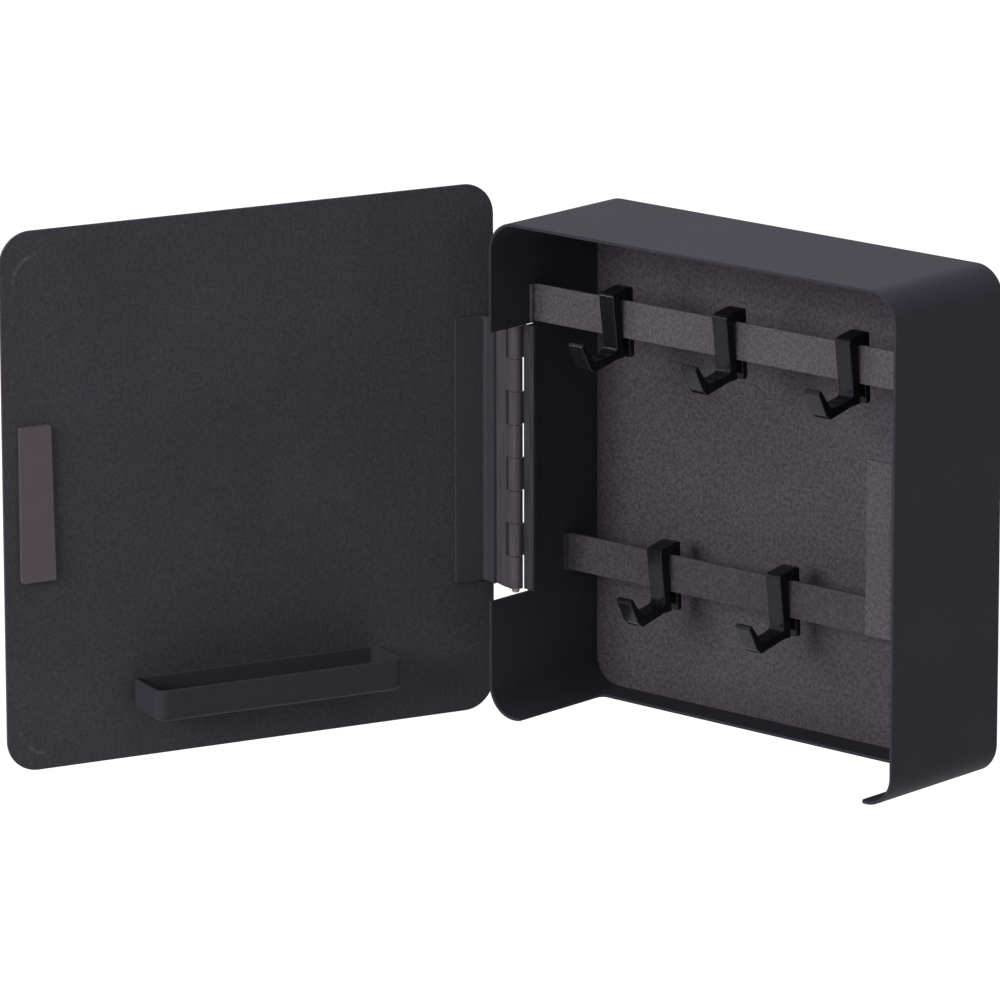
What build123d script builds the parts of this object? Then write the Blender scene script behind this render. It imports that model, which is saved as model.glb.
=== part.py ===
"""Magnetic key box: an open steel case with two hook rails and a hinged door that holds a key tray.

Frame: the origin is the centre of the magnet sheet's back face, +X to the right as seen from the front,
+Y towards the surface the box hangs on, +Z up. Units are millimetres. The door stands open.
"""
import os
from math import cos, radians, sin

from build123d import *

# casing
casing_width = 191.0
casing_depth = 60.0
casing_height = 187.0
sheet = 1.2
edge_radius = 0.25
corner_radius = 11.8
back_sheet = 0.8
lip_length = 14.4
lip_tip_radius = 2.0
floor_strip_depth = 13.1
floor_corner_radius = 2.5

# magnet sheet on the back
magnet_width = 150.0
magnet_height = 140.0
magnet_thickness = 2.0

# edges of the casing in the frame above
left = -casing_width / 2
right = casing_width / 2
bottom = -casing_height / 2
front = -(casing_depth + magnet_thickness)
back = -magnet_thickness

# notch and flap for the hinge in the left wall
notch_bottom = bottom + 43.4
notch_top = bottom + 144.9
relief_height = 0.6
relief_depth = 3.2
flap_reach = 5.0
flap_bend_radius = 0.8

# hinge
axis_x = left - 2.2
axis_y = front + 17.3
hinge_bottom = bottom + 44.7
knuckle_length = 12.5
knuckle_gap = 0.4
knuckles = 8
leaf_thickness = 1.2
body_leaf_width = 7.5
door_leaf_width = 14.0
leaf_cut_back = 2.75
pin_radius = 1.4
pin_clearance = 0.05
barrel_radius = pin_radius + pin_clearance + leaf_thickness
pin_end = 1.5
open_angle = 111.0

# door
door_width = 198.0
door_height = 200.0
door_sheet = 1.2
door_corner_radius = 12.0
door_gap = 1.1
door_left = left - 2.6
door_bottom = bottom - 5.3

# hinge bracket on the door
bracket_bottom = bottom + 44.4
bracket_height = 100.2
bracket_plate = 13.2
bracket_leg = 8.2
bracket_bend_radius = 1.1

# magnet strip on the door and the catch plate that it meets
strip_top_width = 12.1
strip_bottom_width = 13.3
strip_height = 57.6
strip_thickness = 2.0
strip_from_edge = 6.05
strip_bottom = bottom + 65.5
catch_width = 12.3
catch_height = 64.0
catch_leg = 12.0
catch_set_back = 1.0
catch_bend_radius = 0.8
catch_bottom = bottom + 61.6

# key tray on the door
tray_length = 100.0
tray_height = 12.0
tray_depth = 23.2
tray_wall = 1.5
tray_corner_radius = 4.0
tray_bottom_radius = 3.0
tray_rim_radius = 0.5
tray_bottom = bottom + 13.0
pad_thickness = 0.8
pad_length = 88.0
pad_height = 8.0

# rails
rail_height = 14.0
rail_bend_radius = 1.0
rail_flange = 2.2
upper_rail_front = front + 23.5
upper_rail_bottom = bottom + 145.6
lower_rail_front = front + 42.2
lower_rail_bottom = bottom + 47.8

# hooks
hook_width = 7.0
hook_edge_radius = 0.45
hook_lean = 0.126
slot_play = 0.06


def box_between(x0, x1, y0, y1, z0, z1, mode=Mode.ADD):
    """Block given by its limits along each axis."""
    with Locations(((x0 + x1) / 2, (y0 + y1) / 2, (z0 + z1) / 2)):
        Box(x1 - x0, y1 - y0, z1 - z0, mode=mode)


def save(part, name):
    """Label the piece and write it to its own file."""
    part.label = name
    export_step(part, f"parts/{name}.step")


def round_corner(x, y, radius):
    """Round the corner at this place of the sketch being drawn, in the sketch's own plane."""
    fillet(vertices().sort_by_distance((x, y, 0))[0], radius)


def round_ends(radius):
    """Round the edges of the lowest and the highest face of the piece being built."""
    fillet(edges().group_by(Axis.Z)[0] + edges().group_by(Axis.Z)[-1], radius)


def swung(x, y):
    """Place, with the door open, of a point given as it lies with the door closed."""
    dx = x - axis_x
    dy = y - axis_y
    c = cos(radians(open_angle))
    s = sin(radians(open_angle))
    return (axis_x + dx * c + dy * s, axis_y - dx * s + dy * c)


def door_plan(z):
    """Horizontal plane at height z. Its local x and y are the closed door's x and y from the hinge axis."""
    c = cos(radians(open_angle))
    s = sin(radians(open_angle))
    return Plane(origin=(axis_x, axis_y, z), x_dir=(c, -s, 0), z_dir=(0, 0, 1))


def door_upright(y):
    """Plane parallel to the door at the closed door's y. Local x runs from the axis, local y is up."""
    c = cos(radians(open_angle))
    s = sin(radians(open_angle))
    ox, oy = swung(axis_x, y)
    return Plane(origin=(ox, oy, 0), x_dir=(c, -s, 0), z_dir=(-s, -c, 0))


def make_casing():
    flap_front = axis_y + barrel_radius
    flap_back = flap_front + sheet
    relief_end = flap_back + relief_depth
    floor_front = back - floor_strip_depth
    with BuildPart() as casing:
        with BuildSketch(Plane.XZ.offset(magnet_thickness)):
            RectangleRounded(casing_width, casing_height, corner_radius)
            RectangleRounded(
                casing_width - 2 * sheet,
                casing_height - 2 * sheet,
                corner_radius - sheet,
                mode=Mode.SUBTRACT,
            )
        extrude(amount=casing_depth)

        # the floor is cut away between the lips, up to the strip at the back
        with BuildSketch(Plane.XY.offset(bottom - 1)):
            with BuildLine():
                Polyline(
                    (left + lip_length, front - 1),
                    (left + lip_length, floor_front),
                    (right - lip_length, floor_front),
                    (right - lip_length, front - 1),
                    close=True,
                )
            make_face()
            inner = vertices().group_by(Axis.Y)[-1]
            fillet(inner, floor_corner_radius)
        extrude(amount=sheet + 2, mode=Mode.SUBTRACT)
        tips = (
            edges()
            .filter_by(Axis.Z)
            .filter_by_position(Axis.Y, front - 0.1, front + 0.1)
            .filter_by_position(Axis.Z, bottom - 0.1, bottom + 2 * sheet)
        )
        fillet(tips, lip_tip_radius)

        # the notch in the left wall, and the flap that is bent in from its back edge
        x1 = left + sheet + 1
        box_between(left - 1, x1, front - 1, relief_end, notch_bottom, notch_top, Mode.SUBTRACT)
        with BuildSketch(Plane.XY.offset(notch_bottom + relief_height)):
            with BuildLine():
                Polyline(
                    (left, relief_end),
                    (left, flap_front),
                    (left + flap_reach, flap_front),
                    (left + flap_reach, flap_back),
                    (left + sheet, flap_back),
                    (left + sheet, relief_end),
                    close=True,
                )
            make_face()
            round_corner(left, flap_front, flap_bend_radius + sheet)
            round_corner(left + sheet, flap_back, flap_bend_radius)
        extrude(amount=notch_top - notch_bottom - 2 * relief_height)

        # the cut edges of the sheet are slightly rounded by the paint
        rim = edges().filter_by_position(Axis.Y, front - 0.01, front + 0.01)
        fillet(rim.filter_by(lambda edge: edge.length > 2.5), edge_radius)
    save(casing.part, "casing")


def make_back():
    with BuildPart() as back_panel:
        with BuildSketch(Plane.XZ.offset(magnet_thickness)):
            RectangleRounded(casing_width - 2 * sheet, casing_height - 2 * sheet, corner_radius - sheet)
        extrude(amount=back_sheet)
    save(back_panel.part, "back_panel")

    with BuildPart() as magnet:
        with BuildSketch(Plane.XZ):
            RectangleRounded(magnet_width, magnet_height, 4.0)
        extrude(amount=magnet_thickness)
    save(magnet.part, "back_magnet_sheet")


def make_rail(name, rail_front, rail_bottom):
    """Flat bar across the casing with both ends bent forward along the side walls."""
    x0 = left + sheet
    x1 = right - sheet
    y0 = rail_front - rail_flange
    rail_back = rail_front + sheet
    with BuildPart() as rail:
        with BuildSketch(Plane.XY.offset(rail_bottom)):
            with BuildLine():
                Polyline(
                    (x0, y0),
                    (x0, rail_back),
                    (x1, rail_back),
                    (x1, y0),
                    (x1 - sheet, y0),
                    (x1 - sheet, rail_front),
                    (x0 + sheet, rail_front),
                    (x0 + sheet, y0),
                    close=True,
                )
            make_face()
            for x in (x0, x1):
                round_corner(x, rail_back, rail_bend_radius + sheet)
            for x in (x0 + sheet, x1 - sheet):
                round_corner(x, rail_front, rail_bend_radius)
        extrude(amount=rail_height)
        round_ends(edge_radius)
    save(rail.part, name)


def make_hooks():
    """Moulded clip over the rail with a forward arm that turns up to a square tip.

    The clip's slot is wider than the rail, so the hook leans until it touches the rail at its front lower
    edge and its back upper edge. The profile gives distances from the rail's front face and lower edge.
    """
    slot_front = [(-slot_play - hook_lean * z, z) for z in (-7.5, rail_height - 0.15)]
    slot_back = [(sheet + slot_play + hook_lean * (rail_height - z), z) for z in (rail_height + 0.25, -8.0)]
    with BuildPart() as hook:
        with BuildSketch(Plane.YZ):
            with BuildLine():
                Polyline(
                    (-6.0, 16.7),
                    (-3.2, -4.6),
                    (-8.5, -5.6),
                    (-15.6, -6.3),
                    (-21.5, 1.5),
                    (-23.0, 0.1),
                    (-18.3, -8.7),
                    (-16.0, -10.5),
                    (-4.0, -7.7),
                    slot_front[0],
                    slot_front[1],
                    slot_back[0],
                    slot_back[1],
                    (6.3, -8.0),
                    (5.3, 18.2),
                    (2.0, 18.2),
                    close=True,
                )
            make_face()
            for y, z, radius in (
                (-6.0, 16.7, 1.6),
                (-3.2, -4.6, 2.0),
                (-15.6, -6.3, 2.0),
                (-21.5, 1.5, 0.75),
                (-23.0, 0.1, 0.9),
                (-18.3, -8.7, 1.6),
                (-16.0, -10.5, 1.6),
                (6.3, -8.0, 1.0),
                (5.3, 18.2, 1.0),
                (2.0, 18.2, 3.0),
            ):
                round_corner(y, z, radius)
        extrude(amount=hook_width)
        outline_edges = edges().filter_by_position(Axis.X, -0.1, 0.1)
        outline_edges += edges().filter_by_position(Axis.X, hook_width - 0.1, hook_width + 0.1)
        fillet(outline_edges, hook_edge_radius)

    for name, x_left, rail_front, rail_bottom in (
        ("upper_left_hook", left + 37.9, upper_rail_front, upper_rail_bottom),
        ("upper_middle_hook", left + 91.6, upper_rail_front, upper_rail_bottom),
        ("upper_right_hook", left + 148.7, upper_rail_front, upper_rail_bottom),
        ("lower_left_hook", left + 45.0, lower_rail_front, lower_rail_bottom),
        ("lower_right_hook", left + 101.9, lower_rail_front, lower_rail_bottom),
    ):
        save(Pos(x_left, rail_front, rail_bottom) * hook.part, name)


def make_catch_plate():
    x1 = right - sheet
    x0 = x1 - catch_width
    y0 = front + catch_set_back
    with BuildPart() as catch:
        with BuildSketch(Plane.XY.offset(catch_bottom)):
            with BuildLine():
                Polyline(
                    (x0, y0),
                    (x1, y0),
                    (x1, y0 + catch_leg),
                    (x1 - sheet, y0 + catch_leg),
                    (x1 - sheet, y0 + sheet),
                    (x0, y0 + sheet),
                    close=True,
                )
            make_face()
            round_corner(x1, y0, catch_bend_radius + sheet)
            round_corner(x1 - sheet, y0 + sheet, catch_bend_radius)
        extrude(amount=catch_height)
        round_ends(edge_radius)
    save(catch.part, "catch_plate")


def make_leaf(name, turn, leaf_width, own_knuckles, bore_radius):
    """Hinge leaf rolled round the pin. Its own knuckles have barrels, the others are cut out of it."""
    c = cos(radians(turn))
    s = sin(radians(turn))
    with BuildPart() as leaf:
        for i in range(knuckles):
            z = hinge_bottom + i * knuckle_length
            plane = Plane(origin=(axis_x, axis_y, z), x_dir=(c, -s, 0), z_dir=(0, 0, 1))
            middle = barrel_radius - leaf_thickness / 2
            with BuildSketch(plane):
                with Locations(((leaf_cut_back + leaf_width) / 2, middle)):
                    Rectangle(leaf_width - leaf_cut_back, leaf_thickness)
            extrude(amount=knuckle_length)
            if i in own_knuckles:
                with BuildSketch(plane.offset(knuckle_gap / 2)):
                    Circle(barrel_radius)
                    with Locations((leaf_cut_back / 2, middle)):
                        Rectangle(leaf_cut_back, leaf_thickness)
                    Circle(bore_radius, mode=Mode.SUBTRACT)
                extrude(amount=knuckle_length - knuckle_gap)
    save(leaf.part, name)


def make_pin():
    length = knuckles * knuckle_length
    with BuildPart() as pin:
        with BuildSketch(Plane.XY.offset(hinge_bottom - pin_end)):
            with Locations((axis_x, axis_y)):
                Circle(pin_radius)
        extrude(amount=length + pin_end - 0.2)
        chamfer(edges().filter_by(GeomType.CIRCLE), 0.4)
    save(pin.part, "hinge_pin")


def make_door():
    inner = front - door_gap
    x_mid = door_left + door_width / 2 - axis_x
    z_mid = door_bottom + door_height / 2
    with BuildPart() as door:
        with BuildSketch(door_upright(inner)):
            with Locations((x_mid, z_mid)):
                RectangleRounded(door_width, door_height, door_corner_radius)
        extrude(amount=door_sheet)
        across = door_upright(inner).z_dir
        fillet(edges().filter_by(lambda edge: abs(edge.tangent_at(0.5).dot(across)) < 0.1), edge_radius)
    save(door.part, "door_panel")

    # the strip is cut by hand, a little wider at its lower end
    strip_edge = door_left + door_width - strip_from_edge - axis_x
    with BuildPart() as strip:
        with BuildSketch(door_upright(inner)):
            with BuildLine():
                Polyline(
                    (strip_edge, strip_bottom),
                    (strip_edge, strip_bottom + strip_height),
                    (strip_edge - strip_top_width, strip_bottom + strip_height),
                    (strip_edge - strip_bottom_width, strip_bottom),
                    close=True,
                )
            make_face()
            fillet(vertices(), 0.5)
        extrude(amount=-strip_thickness)
    save(strip.part, "door_magnet_strip")

    # the bracket's leg lies on the hinge leaf, on the side towards the door's free edge
    leg_x = barrel_radius
    y0 = inner - axis_y
    with BuildPart() as bracket:
        with BuildSketch(door_plan(bracket_bottom)):
            with BuildLine():
                Polyline(
                    (leg_x, y0),
                    (leg_x + bracket_plate, y0),
                    (leg_x + bracket_plate, y0 + sheet),
                    (leg_x + sheet, y0 + sheet),
                    (leg_x + sheet, y0 + bracket_leg),
                    (leg_x, y0 + bracket_leg),
                    close=True,
                )
            make_face()
            for offset_in, radius in ((0.0, bracket_bend_radius + sheet), (sheet, bracket_bend_radius)):
                round_corner(leg_x + offset_in, y0 + offset_in, radius)
        extrude(amount=bracket_height)
        round_ends(edge_radius)
    save(bracket.part, "door_hinge_bracket")


def make_tray():
    inner = front - door_gap
    x_mid = door_left + door_width / 2 - axis_x
    tray_back = inner + pad_thickness - axis_y
    with BuildPart() as tray:
        with BuildSketch(door_plan(tray_bottom)):
            with Locations((x_mid, tray_back + tray_depth / 2)):
                Rectangle(tray_length, tray_depth)
        extrude(amount=tray_height)
        fillet(edges().filter_by(Axis.Z), tray_corner_radius)
        fillet(edges().group_by(Axis.Z)[0], tray_bottom_radius)
        offset(amount=-tray_wall, openings=faces().sort_by(Axis.Z)[-1])
        fillet(edges().group_by(Axis.Z)[-1], tray_rim_radius)
    save(tray.part, "key_tray")

    with BuildPart() as pad:
        with BuildSketch(door_upright(inner)):
            with Locations((x_mid, tray_bottom + tray_bottom_radius + 0.3 + pad_height / 2)):
                RectangleRounded(pad_length, pad_height, 1.0)
        extrude(amount=-pad_thickness)
    save(pad.part, "tray_pad")


os.makedirs("parts", exist_ok=True)
make_casing()
make_back()
make_rail("upper_hook_rail", upper_rail_front, upper_rail_bottom)
make_rail("lower_hook_rail", lower_rail_front, lower_rail_bottom)
make_hooks()
make_catch_plate()
make_leaf("hinge_body_leaf", 0.0, body_leaf_width, (1, 3, 5, 7), pin_radius)
make_leaf("hinge_door_leaf", 90.0 + open_angle, door_leaf_width, (0, 2, 4, 6), pin_radius + pin_clearance)
make_pin()
make_door()
make_tray()
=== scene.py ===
"""Magnetic key box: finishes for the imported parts, a plain studio and the camera."""
import math

import bmesh
import bpy
from mathutils import Matrix, Vector

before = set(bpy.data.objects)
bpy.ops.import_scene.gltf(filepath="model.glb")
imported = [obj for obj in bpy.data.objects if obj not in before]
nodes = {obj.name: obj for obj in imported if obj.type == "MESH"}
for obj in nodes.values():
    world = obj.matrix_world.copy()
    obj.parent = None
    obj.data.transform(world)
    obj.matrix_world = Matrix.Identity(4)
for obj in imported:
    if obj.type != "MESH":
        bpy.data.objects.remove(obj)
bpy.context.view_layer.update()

# camera, in degrees and metres, for a square image of 1000 pixels
CAMERA_PLACE = (1.81834, -2.19789, 0.70424)
CAMERA_YAW = 41.780
CAMERA_PITCH = 14.016
CAMERA_ROLL = 0.106
CAMERA_LENS = 290.0

# the box hangs on a wall, so the floor lies well below it
FLOOR_DROP = 1.1
FLOOR_REACH = 30.0

# hinge line, knuckles and the door's swing from closed to where it stands, in metres and degrees;
# the knuckle radius and fade also bound the painted highlight on the knuckles
HINGE_X = -0.0977
HINGE_Y = -0.0447
KNUCKLE_RADIUS = 0.00265
KNUCKLE_HIGHLIGHT_FADE = 0.0004
OPEN_ANGLE = 111.0

# the casing's front rim, in metres, for the marks that its corners rub on the inside of the door
RIM_HALF_WIDTH = 0.0955
RIM_HALF_HEIGHT = 0.0935
RIM_CORNER = 0.0118
RIM_MIDDLE = 0.0006
DOOR_MIDDLE = -0.019
MARK_CORE = 0.0002
MARK_EDGE = 0.0009
MARK_END = 0.0025
MARK_WEAR = 0.4

# brightness of the white surroundings, to the eye and in reflections, and as light on the box
PLAIN_WHITE = 1.0
PAPER_WHITE = 0.86
ROOM_LIGHT = 0.42

# heights of the finest relief, in metres
COAT_PEBBLE = 0.0004
FINE_RELIEF = 0.0001

# all lamps face this point in the box
LAMP_TARGET = (0.0, -0.03, 0.0)


def linear(code):
    """Linear colour of an sRGB hex value."""
    channels = [int(code[i:i + 2], 16) / 255 for i in (1, 3, 5)]
    return [c / 12.92 if c <= 0.04045 else ((c + 0.055) / 1.055) ** 2.4 for c in channels] + [1.0]


def new_material(name):
    """Empty node material with its output, and its tree."""
    material = bpy.data.materials.new(name)
    material.use_nodes = True
    material.node_tree.nodes.clear()
    return material, material.node_tree


def add(tree, kind, settings=None, values=None, links=None):
    """Adds a node. settings are its properties, values its socket values, links its fed sockets."""
    node = tree.nodes.new(kind)
    for name, value in (settings or {}).items():
        setattr(node, name, value)
    for name, value in (values or {}).items():
        node.inputs[name].default_value = value
    for name, source in (links or {}).items():
        tree.links.new(source, node.inputs[name])
    return node


def per_metre(millimetres):
    """Texture scale at which one cell of the pattern is this many millimetres."""
    return 1000.0 / millimetres


def rim_marks(tree, place):
    """Mask of the faint arcs that two rim corners rub on the free side of the door's inside."""
    # the open door is turned back about the hinge line, and its height and width are folded over,
    # so that one corner of the rim stands for all. The two on the free side are then kept.
    turned = add(tree, "ShaderNodeVectorMath", {"operation": "SUBTRACT"},
                 {1: (HINGE_X, HINGE_Y, 0.0)}, {0: place})
    closed = add(tree, "ShaderNodeVectorRotate", {"rotation_type": "Z_AXIS"},
                 {"Angle": math.radians(OPEN_ANGLE)}, {"Vector": turned.outputs["Vector"]})
    centred = add(tree, "ShaderNodeVectorMath", {"operation": "ADD"}, {1: (HINGE_X, 0.0, 0.0)},
                  {0: closed.outputs["Vector"]})
    folded = add(tree, "ShaderNodeVectorMath", {"operation": "ABSOLUTE"},
                 links={0: centred.outputs["Vector"]})
    corner = (RIM_HALF_WIDTH - RIM_CORNER, 0.0, RIM_HALF_HEIGHT - RIM_CORNER)
    beyond = add(tree, "ShaderNodeVectorMath", {"operation": "SUBTRACT"}, {1: corner},
                 {0: folded.outputs["Vector"]})
    outside = add(tree, "ShaderNodeVectorMath", {"operation": "MAXIMUM"}, {1: (0.0, 0.0, 0.0)},
                  {0: beyond.outputs["Vector"]})
    flat = add(tree, "ShaderNodeVectorMath", {"operation": "MULTIPLY"}, {1: (1.0, 0.0, 1.0)},
               {0: outside.outputs["Vector"]})
    radius = add(tree, "ShaderNodeVectorMath", {"operation": "LENGTH"},
                 links={0: flat.outputs["Vector"]})
    offset = add(tree, "ShaderNodeMath", {"operation": "SUBTRACT"}, {1: RIM_CORNER - RIM_MIDDLE},
                 {0: radius.outputs["Value"]})
    distance = add(tree, "ShaderNodeMath", {"operation": "ABSOLUTE"},
                   links={0: offset.outputs["Value"]})
    band = add(tree, "ShaderNodeMapRange", values={"From Min": MARK_EDGE, "From Max": MARK_CORE},
               links={"Value": distance.outputs["Value"]})
    parts = add(tree, "ShaderNodeSeparateXYZ", links={"Vector": flat.outputs["Vector"]})
    both = add(tree, "ShaderNodeMath", {"operation": "MINIMUM"},
               links={0: parts.outputs["X"], 1: parts.outputs["Z"]})
    ends = add(tree, "ShaderNodeMapRange", values={"From Min": 0.0, "From Max": MARK_END},
               links={"Value": both.outputs["Value"]})
    broken = add(tree, "ShaderNodeTexNoise", values={"Scale": per_metre(2.5), "Detail": 3.0},
                 links={"Vector": place})
    patches = add(tree, "ShaderNodeMapRange", values={"From Min": 0.4, "From Max": 0.6},
                  links={"Value": broken.outputs["Fac"]})
    spot = add(tree, "ShaderNodeSeparateXYZ", links={"Vector": centred.outputs["Vector"]})
    inner = add(tree, "ShaderNodeMath", {"operation": "GREATER_THAN"}, {1: DOOR_MIDDLE},
                {0: spot.outputs["Y"]})
    free = add(tree, "ShaderNodeMath", {"operation": "GREATER_THAN"}, {1: 0.0},
               {0: spot.outputs["X"]})
    there = add(tree, "ShaderNodeMath", {"operation": "MINIMUM"},
                links={0: inner.outputs["Value"], 1: free.outputs["Value"]})
    free_band = add(tree, "ShaderNodeMath", {"operation": "MULTIPLY"},
                    links={0: band.outputs["Result"], 1: there.outputs["Value"]})
    arcs = add(tree, "ShaderNodeMath", {"operation": "MULTIPLY"},
               links={0: free_band.outputs["Value"], 1: ends.outputs["Result"]})
    return add(tree, "ShaderNodeMath", {"operation": "MULTIPLY"},
               links={0: arcs.outputs["Value"], 1: patches.outputs["Result"]}).outputs["Value"]


def powder_coat(name, dark, light, grain_mm, relief, rub=None):
    """Polyester powder coat, sprayed and baked on mild steel sheet.

    The melted grains set as a matte, finely pebbled skin: almost no mirror shine, tiny light and
    dark specks that stand out where light rakes the sheet, and a slight cloudiness over a hand's
    breadth.
    The real specks are finer than this pattern, which is drawn as coarse as it needs to be seen.
    """
    material, tree = new_material(name)
    place = add(tree, "ShaderNodeTexCoord").outputs["Object"]
    grain = add(tree, "ShaderNodeTexNoise",
                values={"Scale": per_metre(grain_mm), "Detail": 2.0, "Roughness": 0.65},
                links={"Vector": place})
    specks = add(tree, "ShaderNodeMapRange", values={"From Min": 0.33, "From Max": 0.67},
                 links={"Value": grain.outputs["Fac"]})
    cloud = add(tree, "ShaderNodeTexNoise", values={"Scale": per_metre(45.0), "Detail": 3.0},
                links={"Vector": place})
    haze = add(tree, "ShaderNodeMapRange",
               values={"From Min": 0.35, "From Max": 0.65, "To Min": 0.94, "To Max": 1.06},
               links={"Value": cloud.outputs["Fac"]})
    paint = add(tree, "ShaderNodeMix", {"data_type": "RGBA"}, {6: linear(dark), 7: linear(light)},
                {0: specks.outputs["Result"]})
    tone = add(tree, "ShaderNodeVectorMath", {"operation": "SCALE"},
               links={0: paint.outputs[2], "Scale": haze.outputs["Result"]}).outputs["Vector"]
    if rub:
        mask = add(tree, "ShaderNodeMath", {"operation": "MULTIPLY"}, {1: MARK_WEAR},
                   {0: rim_marks(tree, place)})
        tone = add(tree, "ShaderNodeMix", {"data_type": "RGBA"}, {7: linear(rub)},
                   {0: mask.outputs["Value"], 6: tone}).outputs[2]
    gloss = add(tree, "ShaderNodeMapRange", values={"To Min": 0.56, "To Max": 0.72},
                links={"Value": grain.outputs["Fac"]})
    pebble = add(tree, "ShaderNodeBump", values={"Strength": relief, "Distance": COAT_PEBBLE},
                 links={"Height": grain.outputs["Fac"]})
    shader = add(tree, "ShaderNodeBsdfPrincipled", values={"IOR": 1.5, "Specular IOR Level": 0.1},
                 links={"Base Color": tone, "Roughness": gloss.outputs["Result"],
                        "Normal": pebble.outputs["Normal"]})
    add(tree, "ShaderNodeOutputMaterial", links={"Surface": shader.outputs["BSDF"]})
    return material


def stove_enamel(name, dark, light):
    """Stove enamel on cold-rolled strip.

    It is thinner and smoother than the coat, with faint drawn lines along the strip. The knuckles
    are tinted a little lighter than the flat leaves: a painted highlight for the light the round
    barrel catches.
    """
    material, tree = new_material(name)
    place = add(tree, "ShaderNodeTexCoord").outputs["Object"]
    stretched = add(tree, "ShaderNodeMapping", values={"Scale": (1.0, 1.0, 0.05)},
                    links={"Vector": place})
    lines = add(tree, "ShaderNodeTexNoise", values={"Scale": per_metre(0.9), "Detail": 3.0},
                links={"Vector": stretched.outputs["Vector"]})
    streaks = add(tree, "ShaderNodeMapRange", values={"From Min": 0.35, "From Max": 0.65},
                  links={"Value": lines.outputs["Fac"]})
    flat = add(tree, "ShaderNodeMix", {"data_type": "RGBA"}, {6: linear(dark), 7: linear(light)},
               {0: streaks.outputs["Result"]})
    # painted highlight: a lighter tint on the knuckles, for the light the round barrel catches
    knuckle_highlight_tint = add(tree, "ShaderNodeMix", {"data_type": "RGBA"},
                 {6: linear("#4a464b"), 7: linear("#575358")}, {0: streaks.outputs["Result"]})
    from_pin = add(tree, "ShaderNodeVectorMath", {"operation": "SUBTRACT"},
                   {1: (HINGE_X, HINGE_Y, 0.0)}, {0: place})
    level = add(tree, "ShaderNodeVectorMath", {"operation": "MULTIPLY"}, {1: (1.0, 1.0, 0.0)},
                {0: from_pin.outputs["Vector"]})
    radius = add(tree, "ShaderNodeVectorMath", {"operation": "LENGTH"},
                 links={0: level.outputs["Vector"]})
    knuckle = add(tree, "ShaderNodeMapRange",
                  values={"From Min": KNUCKLE_RADIUS + KNUCKLE_HIGHLIGHT_FADE, "From Max": KNUCKLE_RADIUS},
                  links={"Value": radius.outputs["Value"]})
    tint = add(tree, "ShaderNodeMix", {"data_type": "RGBA"},
               links={0: knuckle.outputs["Result"], 6: flat.outputs[2], 7: knuckle_highlight_tint.outputs[2]})
    gloss = add(tree, "ShaderNodeMapRange", values={"To Min": 0.30, "To Max": 0.44},
                links={"Value": lines.outputs["Fac"]})
    relief = add(tree, "ShaderNodeBump", values={"Strength": 0.1, "Distance": FINE_RELIEF},
                 links={"Height": lines.outputs["Fac"]})
    shader = add(tree, "ShaderNodeBsdfPrincipled", values={"IOR": 1.5, "Specular IOR Level": 0.12},
                 links={"Base Color": tint.outputs[2], "Roughness": gloss.outputs["Result"],
                        "Normal": relief.outputs["Normal"]})
    add(tree, "ShaderNodeOutputMaterial", links={"Surface": shader.outputs["BSDF"]})
    return material


def drawn_steel(name):
    """Bright drawn steel wire: clean metal with fine lines round its cut end."""
    material, tree = new_material(name)
    place = add(tree, "ShaderNodeTexCoord").outputs["Object"]
    lines = add(tree, "ShaderNodeTexNoise", values={"Scale": per_metre(0.3), "Detail": 3.0},
                links={"Vector": place})
    tint = add(tree, "ShaderNodeMix", {"data_type": "RGBA"},
               {6: linear("#8f8e8d"), 7: linear("#b4b2af")}, {0: lines.outputs["Fac"]})
    gloss = add(tree, "ShaderNodeMapRange", values={"To Min": 0.28, "To Max": 0.42},
                links={"Value": lines.outputs["Fac"]})
    shader = add(tree, "ShaderNodeBsdfPrincipled", values={"Metallic": 1.0},
                 links={"Base Color": tint.outputs[2], "Roughness": gloss.outputs["Result"]})
    add(tree, "ShaderNodeOutputMaterial", links={"Surface": shader.outputs["BSDF"]})
    return material


def moulded_plastic(name, dark, light, roughness, shine, spark_mm, bump, mark_mm=9.0, upright=1.0):
    """Injection-moulded plastic: one colour with slight flow marks in its tint and its gloss.

    An upright value below 1 draws the marks out into streaks along the height of the piece; on the
    hooks these light and dark streaks are painted reflections running down the glossy legs.
    """
    material, tree = new_material(name)
    place = add(tree, "ShaderNodeTexCoord").outputs["Object"]
    drawn = add(tree, "ShaderNodeMapping", values={"Scale": (1.0, 1.0, upright)},
                links={"Vector": place})
    flow_and_sheen = add(tree, "ShaderNodeTexNoise",
               values={"Scale": per_metre(mark_mm), "Detail": 2.0, "Distortion": 0.6},
               links={"Vector": drawn.outputs["Vector"]})
    spark = add(tree, "ShaderNodeTexNoise", values={"Scale": per_metre(spark_mm), "Detail": 2.0},
                links={"Vector": place})
    tint = add(tree, "ShaderNodeMix", {"data_type": "RGBA"}, {6: linear(dark), 7: linear(light)},
               {0: flow_and_sheen.outputs["Fac"]})
    gloss = add(tree, "ShaderNodeMapRange",
                values={"To Min": roughness - 0.04, "To Max": roughness + 0.05},
                links={"Value": flow_and_sheen.outputs["Fac"]})
    relief = add(tree, "ShaderNodeBump", values={"Strength": bump, "Distance": FINE_RELIEF},
                 links={"Height": spark.outputs["Fac"]})
    shader = add(tree, "ShaderNodeBsdfPrincipled", values={"IOR": 1.5, "Specular IOR Level": shine},
                 links={"Base Color": tint.outputs[2], "Roughness": gloss.outputs["Result"],
                        "Normal": relief.outputs["Normal"]})
    add(tree, "ShaderNodeOutputMaterial", links={"Surface": shader.outputs["BSDF"]})
    return material


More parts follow.
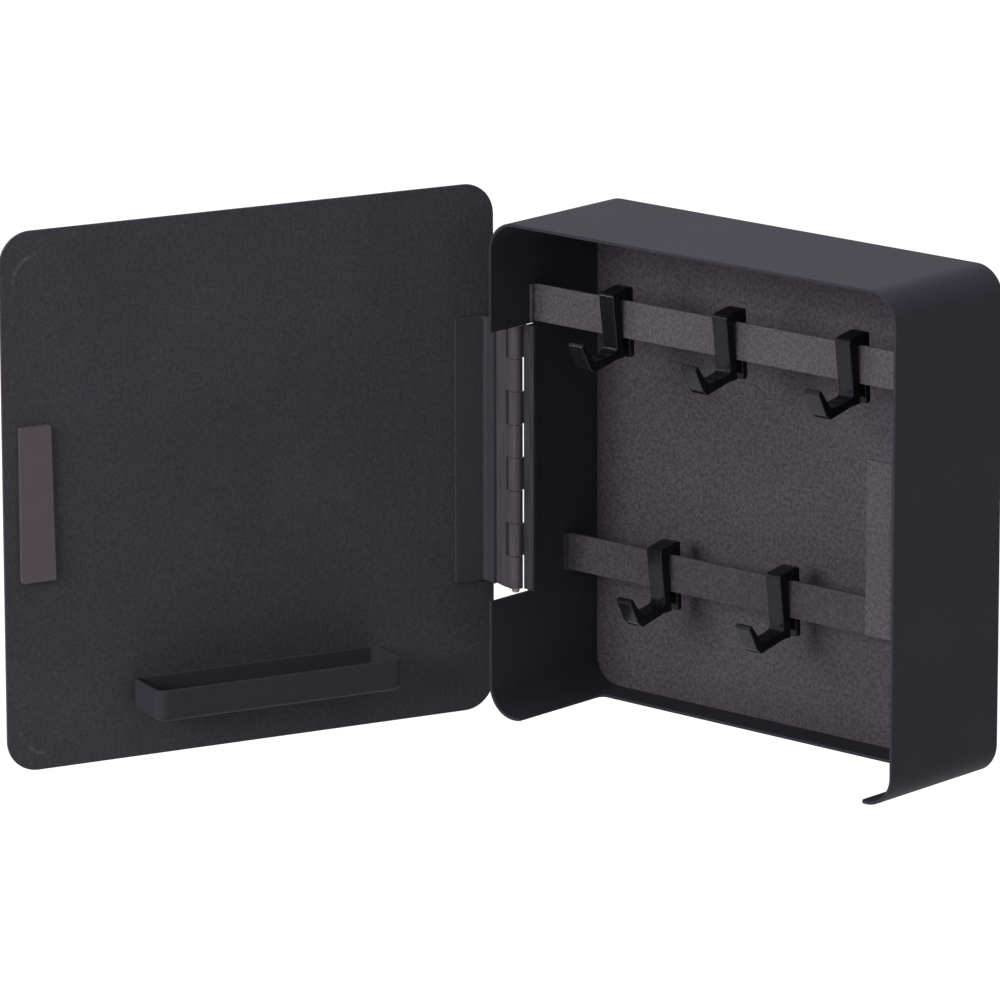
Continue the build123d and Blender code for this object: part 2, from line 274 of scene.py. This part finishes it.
def studio_paper(name):
    """Matte white studio paper, plain white to the eye and in reflections. It takes the shadows."""
    material, tree = new_material(name)
    path = add(tree, "ShaderNodeLightPath")
    mirrored = add(tree, "ShaderNodeMath", {"operation": "MAXIMUM"},
                   links={0: path.outputs["Is Glossy Ray"], 1: path.outputs["Is Transmission Ray"]})
    seen = add(tree, "ShaderNodeMath", {"operation": "MAXIMUM"},
               links={0: path.outputs["Is Camera Ray"], 1: mirrored.outputs["Value"]})
    strength = add(tree, "ShaderNodeMath", {"operation": "MULTIPLY"}, {1: PAPER_WHITE},
                   {0: seen.outputs["Value"]})
    paper = add(tree, "ShaderNodeBsdfDiffuse", values={"Color": linear("#c8c8c8")})
    glow = add(tree, "ShaderNodeEmission", values={"Color": linear("#ffffff")},
               links={"Strength": strength.outputs["Value"]})
    both = add(tree, "ShaderNodeAddShader",
               links={0: paper.outputs["BSDF"], 1: glow.outputs["Emission"]})
    add(tree, "ShaderNodeOutputMaterial", links={"Surface": both.outputs["Shader"]})
    return material


def dress(names, material):
    """Puts one material on each named part."""
    for name in names:
        part = nodes[name]
        part.data.materials.clear()
        part.data.materials.append(material)


def area_light(name, place, width, height, power):
    """Soft rectangular lamp at place, facing the box. Sides in metres, power in watts."""
    data = bpy.data.lights.new(name, "AREA")
    data.shape = "RECTANGLE"
    data.size = width
    data.size_y = height
    data.energy = power
    lamp = bpy.data.objects.new(name, data)
    bpy.context.scene.collection.objects.link(lamp)
    lamp.location = place
    aim = Vector(LAMP_TARGET) - Vector(place)
    lamp.rotation_euler = aim.to_track_quat("-Z", "Y").to_euler()


def make_camera():
    """Camera at the viewing angle given above."""
    data = bpy.data.cameras.new("camera")
    data.lens = CAMERA_LENS
    data.sensor_width = 36.0
    data.clip_end = 60.0
    camera = bpy.data.objects.new("camera", data)
    bpy.context.scene.collection.objects.link(camera)
    turn = (
        Matrix.Rotation(math.radians(CAMERA_YAW), 4, "Z")
        @ Matrix.Rotation(math.radians(90.0 - CAMERA_PITCH), 4, "X")
        @ Matrix.Rotation(math.radians(-CAMERA_ROLL), 4, "Z")
    )
    camera.matrix_world = Matrix.Translation(CAMERA_PLACE) @ turn
    bpy.context.scene.camera = camera


def make_stage():
    """Paper floor below the box and a plain white world that lights it evenly from all round."""
    form = bmesh.new()
    bmesh.ops.create_grid(form, x_segments=1, y_segments=1, size=FLOOR_REACH,
                          matrix=Matrix.Translation((0.0, 0.0, -FLOOR_DROP)))
    mesh = bpy.data.meshes.new("studio_floor")
    form.to_mesh(mesh)
    form.free()
    floor = bpy.data.objects.new("studio_floor", mesh)
    bpy.context.scene.collection.objects.link(floor)
    mesh.materials.append(studio_paper("studio_paper"))

    world = bpy.data.worlds.new("studio")
    bpy.context.scene.world = world
    world.use_nodes = True
    tree = world.node_tree
    tree.nodes.clear()
    path = add(tree, "ShaderNodeLightPath")
    mirrored = add(tree, "ShaderNodeMath", {"operation": "MAXIMUM"},
                   links={0: path.outputs["Is Glossy Ray"], 1: path.outputs["Is Transmission Ray"]})
    seen = add(tree, "ShaderNodeMath", {"operation": "MAXIMUM"},
               links={0: path.outputs["Is Camera Ray"], 1: mirrored.outputs["Value"]})
    room = add(tree, "ShaderNodeBackground",
               values={"Color": linear("#ffffff"), "Strength": ROOM_LIGHT})
    plain = add(tree, "ShaderNodeBackground",
                values={"Color": linear("#ffffff"), "Strength": PLAIN_WHITE})
    mixed = add(tree, "ShaderNodeMixShader",
                links={0: seen.outputs["Value"], 1: room.outputs["Background"],
                       2: plain.outputs["Background"]})
    add(tree, "ShaderNodeOutputWorld", links={"Surface": mixed.outputs["Shader"]})


make_camera()
make_stage()
area_light("front_softbox", (-0.25, -2.8, 0.9), 1.4, 1.1, 51.5)
area_light("left_softbox", (-1.85, -1.75, 0.95), 0.30, 0.30, 12.0)
area_light("top_softbox", (0.0, 0.3, 2.2), 1.2, 1.2, 14.0)

# the casing, back panel, rails, catch plate, door and bracket wear one powder coat; their different
# tones are partly painted light and shade, each matched to how bright that part stands in the lamps
dress(["casing"], powder_coat("fine_powder_coat", "#302e36", "#36343d", 0.9, 0.10))
dress(["back_panel"], powder_coat("pebbled_powder_coat", "#3f3940", "#58525a", 1.3, 0.45))
dress(["upper_hook_rail"], powder_coat("upper_rail_powder_coat", "#484349", "#625c63", 1.2, 0.45))
# the lower rail wears the upper rail's coat; its darker copy is painted shade, as it sits deeper in
# the box and gets less light
dress(["lower_hook_rail"], powder_coat("lower_rail_painted_shade_coat", "#3d373e", "#504a50", 1.2, 0.40))
dress(["catch_plate"], powder_coat("catch_powder_coat", "#423c43", "#5a545b", 1.3, 0.50))
dress(["door_panel"],
      powder_coat("door_powder_coat", "#3a3940", "#49464d", 1.3, 0.30, rub="#77757c"))
dress(["door_hinge_bracket"], powder_coat("bracket_powder_coat", "#3c3b42", "#444249", 1.2, 0.25))
# the two leaves wear one enamel: the body leaf's darker copy is painted shade, where it sits back
# in the shade of the barrel and the door
dress(["hinge_body_leaf"], stove_enamel("body_leaf_enamel_painted_shade", "#333138", "#434047"))
dress(["hinge_door_leaf"], stove_enamel("door_leaf_enamel", "#4a444b", "#58525a"))
dress(["hinge_pin"], drawn_steel("drawn_steel"))
# the hooks' tint runs in fine upright streaks from near black to dark grey: painted reflections
# along the glossy legs
dress(["upper_left_hook", "upper_middle_hook", "upper_right_hook",
       "lower_left_hook", "lower_right_hook"],
      moulded_plastic("glossy_black_nylon_painted_sheen", "#09080b", "#27252c", 0.12, 0.13, 0.6, 0.02,
                      mark_mm=1.0, upright=0.06))
dress(["key_tray"], moulded_plastic("satin_black_abs", "#37363c", "#3d3b41", 0.55, 0.03, 0.5, 0.05))
dress(["door_magnet_strip"],
      moulded_plastic("calendered_magnet_strip", "#594f59", "#5f5760", 0.45, 0.15, 0.8, 0.05))
dress(["back_magnet_sheet"],
      moulded_plastic("calendered_magnet_sheet", "#222226", "#29292d", 0.5, 0.2, 0.8, 0.05))
dress(["tray_pad"], moulded_plastic("foam_tape", "#161618", "#1c1c1e", 0.75, 0.1, 0.6, 0.2))

bpy.context.scene.view_settings.view_transform = "Standard"
bpy.context.view_layer.update()
